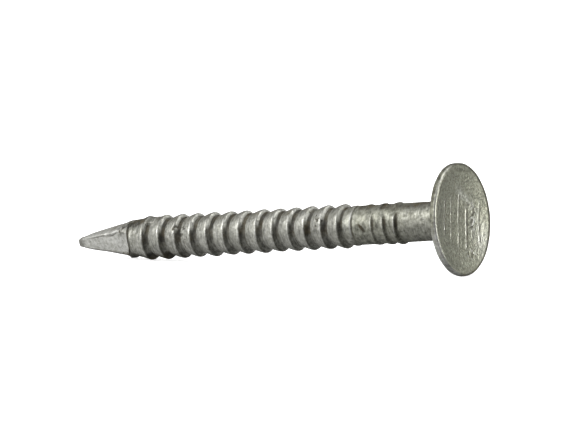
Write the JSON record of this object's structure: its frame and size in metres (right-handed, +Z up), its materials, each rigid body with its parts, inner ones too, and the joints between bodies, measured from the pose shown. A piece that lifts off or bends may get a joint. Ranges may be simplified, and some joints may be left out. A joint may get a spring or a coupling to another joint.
{
  "type": "ring-shank roofing nail",
  "caption": "Galvanised ring-shank roofing nail with a wide, thin, slightly dished round head, annular rings along the shank and a diamond point.",
  "frame": {"origin": "on the nail's axis, in the plane of the head's underside, where the head meets the work", "axes": "+X along the nail from its point to the top of its head; +Z up with the nail lying on its side; one flat of the point faces -Y, turned 15 degrees down"},
  "size_m": [0.0387, 0.0098, 0.0098],
  "materials": {
    "zinc_coated_steel": "weathered hot-dip zinc, matt grey with a slight olive tint"
  },
  "bodies": {
    "root": {"head": "zinc_coated_steel", "neck": "zinc_coated_steel", "grip_shank": "zinc_coated_steel", "ring_shank": "zinc_coated_steel", "point": "zinc_coated_steel"}
  },
  "joints": []
}
